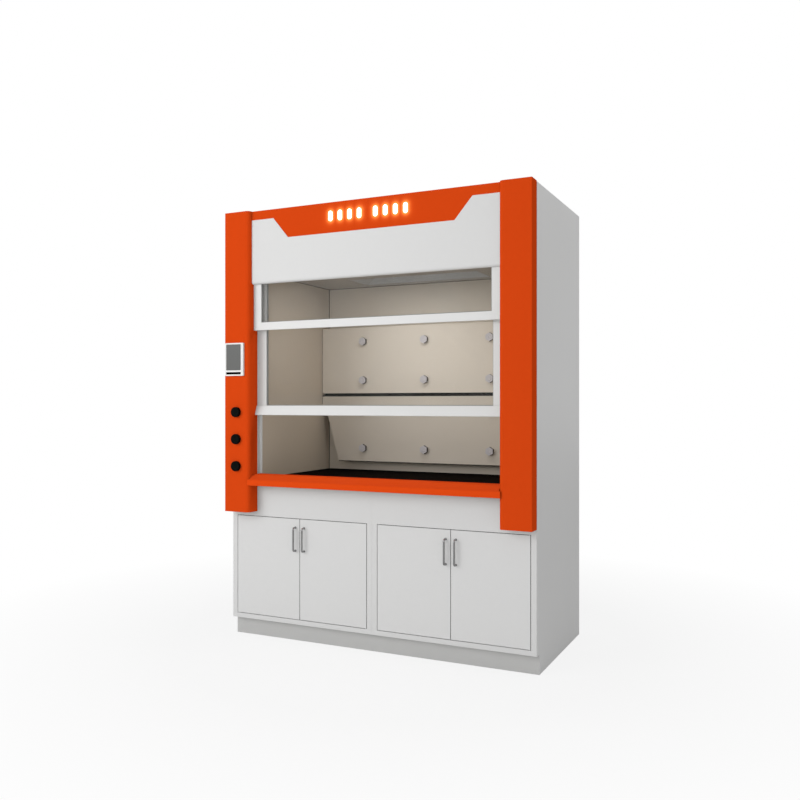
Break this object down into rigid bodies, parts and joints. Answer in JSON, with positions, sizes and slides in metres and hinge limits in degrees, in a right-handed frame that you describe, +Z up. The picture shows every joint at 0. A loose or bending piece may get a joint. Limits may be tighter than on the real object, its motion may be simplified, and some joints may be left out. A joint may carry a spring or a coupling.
{
  "type": "fume hood",
  "caption": "Floor-standing laboratory fume hood with a counterbalanced vertical sash, lined work chamber with baffles, air sill, side columns and double-door base cabinets.",
  "frame": {"origin": "on the floor, under the middle of the casing's footprint, at the underside of the middle leveling foot", "axes": "+Z up; +X to the right as seen from the front; +Y from the front towards the back"},
  "size_m": [1.8, 0.9485, 2.5],
  "materials": {
    "white_paint": "satin powder coat",
    "grey_paint": "satin powder coat",
    "orange_paint": "satin powder coat",
    "white_aluminium": "white powder coat on aluminium section",
    "zinc_steel": "zinc plated",
    "glass": "clear toughened glass",
    "liner_board": "matt beige lining board",
    "pale_plastic": "satin",
    "lit_plastic": "lit from behind",
    "black_top": "satin black",
    "display_glass": "glossy",
    "brass": "satin",
    "black_plastic": "satin",
    "chrome": "polished"
  },
  "bodies": {
    "casing": {"cabinet_left": "white_paint", "cabinet_right": "white_paint", "shelves": "white_paint", "side_panel_left": "white_paint", "side_panel_right": "white_paint", "back_panel": "white_paint", "top_panel": "white_paint", "header_panel": "white_paint", "lamp_housing": "white_paint", "plinth_frame": "grey_paint", "toe_kick": "grey_paint", "exhaust_plenum": "grey_paint", "column_left": "orange_paint", "column_right": "orange_paint", "header_light_panel": "orange_paint", "air_sill": "orange_paint", "window_frame": "white_aluminium", "guide_posts": "white_aluminium", "leveling_feet": "zinc_steel", "inner_frame": "zinc_steel", "weight_channels": "zinc_steel", "pulley_brackets": "zinc_steel", "exhaust_collar": "zinc_steel", "sash_cables": "zinc_steel", "pulley_cables": "zinc_steel", "weight_cables": "zinc_steel", "window_glass": "glass", "lamp_lens": "glass", "liner_left": "liner_board", "liner_right": "liner_board", "liner_back": "liner_board", "ceiling": "liner_board", "baffle_upper": "liner_board", "baffle_lower": "liner_board", "baffle_fixings": "pale_plastic", "display_bezel": "pale_plastic", "header_light_bars": "lit_plastic", "worktop": "black_top", "display_screen": "display_glass", "service_valves": "brass"},
    "sash": {"sash_frame": "white_aluminium", "sash_handle": "white_aluminium", "sash_glass": "glass", "sash_shoes": "black_plastic"},
    "left_counterweight": {"counterweight_left": "zinc_steel"},
    "right_counterweight": {"counterweight_right": "zinc_steel"},
    "left_pulley": {"pulley_left": "black_plastic"},
    "right_pulley": {"pulley_right": "black_plastic"},
    "left_outer_door": {"door_left_outer": "white_paint", "handle_left_outer": "chrome"},
    "left_inner_door": {"door_left_inner": "white_paint", "handle_left_inner": "chrome"},
    "right_inner_door": {"door_right_inner": "white_paint", "handle_right_inner": "chrome"},
    "right_outer_door": {"door_right_outer": "white_paint", "handle_right_outer": "chrome"},
    "top_knob": {"valve_knob_top": "black_plastic"},
    "middle_knob": {"valve_knob_middle": "black_plastic"},
    "bottom_knob": {"valve_knob_bottom": "black_plastic"}
  },
  "joints": [
    {"name": "sash_slide", "type": "slide", "parent": "casing", "child": "sash", "axis": [0, 0, 1], "range_m": [-0.332, 0.24], "deforming": ["sash_cables"]},
    {"name": "left_weight_slide", "type": "slide", "parent": "casing", "child": "left_counterweight", "axis": [0, 0, 1], "range_m": [-0.24, 0.332], "deforming": ["weight_cables"]},
    {"name": "right_weight_slide", "type": "slide", "parent": "casing", "child": "right_counterweight", "axis": [0, 0, 1], "range_m": [-0.24, 0.332]},
    {"name": "left_pulley_turn", "type": "hinge", "parent": "casing", "child": "left_pulley", "pos_m": [-0.7895, -0.409, 2.335], "axis": [0, 1, 0], "range_deg": [-290, 401]},
    {"name": "right_pulley_turn", "type": "hinge", "parent": "casing", "child": "right_pulley", "pos_m": [0.7895, -0.409, 2.335], "axis": [0, 1, 0], "range_deg": [-401, 290]},
    {"name": "left_outer_door_hinge", "type": "hinge", "parent": "casing", "child": "left_outer_door", "pos_m": [-0.861, -0.419, 0.407], "axis": [0, 0, -1], "range_deg": [0, 110]},
    {"name": "left_inner_door_hinge", "type": "hinge", "parent": "casing", "child": "left_inner_door", "pos_m": [-0.039, -0.419, 0.407], "axis": [0, 0, 1], "range_deg": [0, 90]},
    {"name": "right_inner_door_hinge", "type": "hinge", "parent": "casing", "child": "right_inner_door", "pos_m": [0.039, -0.419, 0.407], "axis": [0, 0, -1], "range_deg": [0, 90]},
    {"name": "right_outer_door_hinge", "type": "hinge", "parent": "casing", "child": "right_outer_door", "pos_m": [0.861, -0.419, 0.407], "axis": [0, 0, 1], "range_deg": [0, 110]},
    {"name": "top_knob_turn", "type": "hinge", "parent": "casing", "child": "top_knob", "pos_m": [-0.8175, -0.505, 1.277], "axis": [0, -1, 0], "range_deg": [0, 270]},
    {"name": "middle_knob_turn", "type": "hinge", "parent": "casing", "child": "middle_knob", "pos_m": [-0.8175, -0.505, 1.125], "axis": [0, -1, 0], "range_deg": [0, 270]},
    {"name": "bottom_knob_turn", "type": "hinge", "parent": "casing", "child": "bottom_knob", "pos_m": [-0.8175, -0.505, 0.973], "axis": [0, -1, 0], "range_deg": [0, 270]}
  ],
  "couplings": [
    {"joint": "left_weight_slide", "follows": "sash_slide", "ratio": -1},
    {"joint": "right_weight_slide", "follows": "sash_slide", "ratio": -1},
    {"joint": "left_pulley_turn", "follows": "sash_slide", "rad_per_m": -21.053},
    {"joint": "right_pulley_turn", "follows": "sash_slide", "rad_per_m": 21.053}
  ]
}
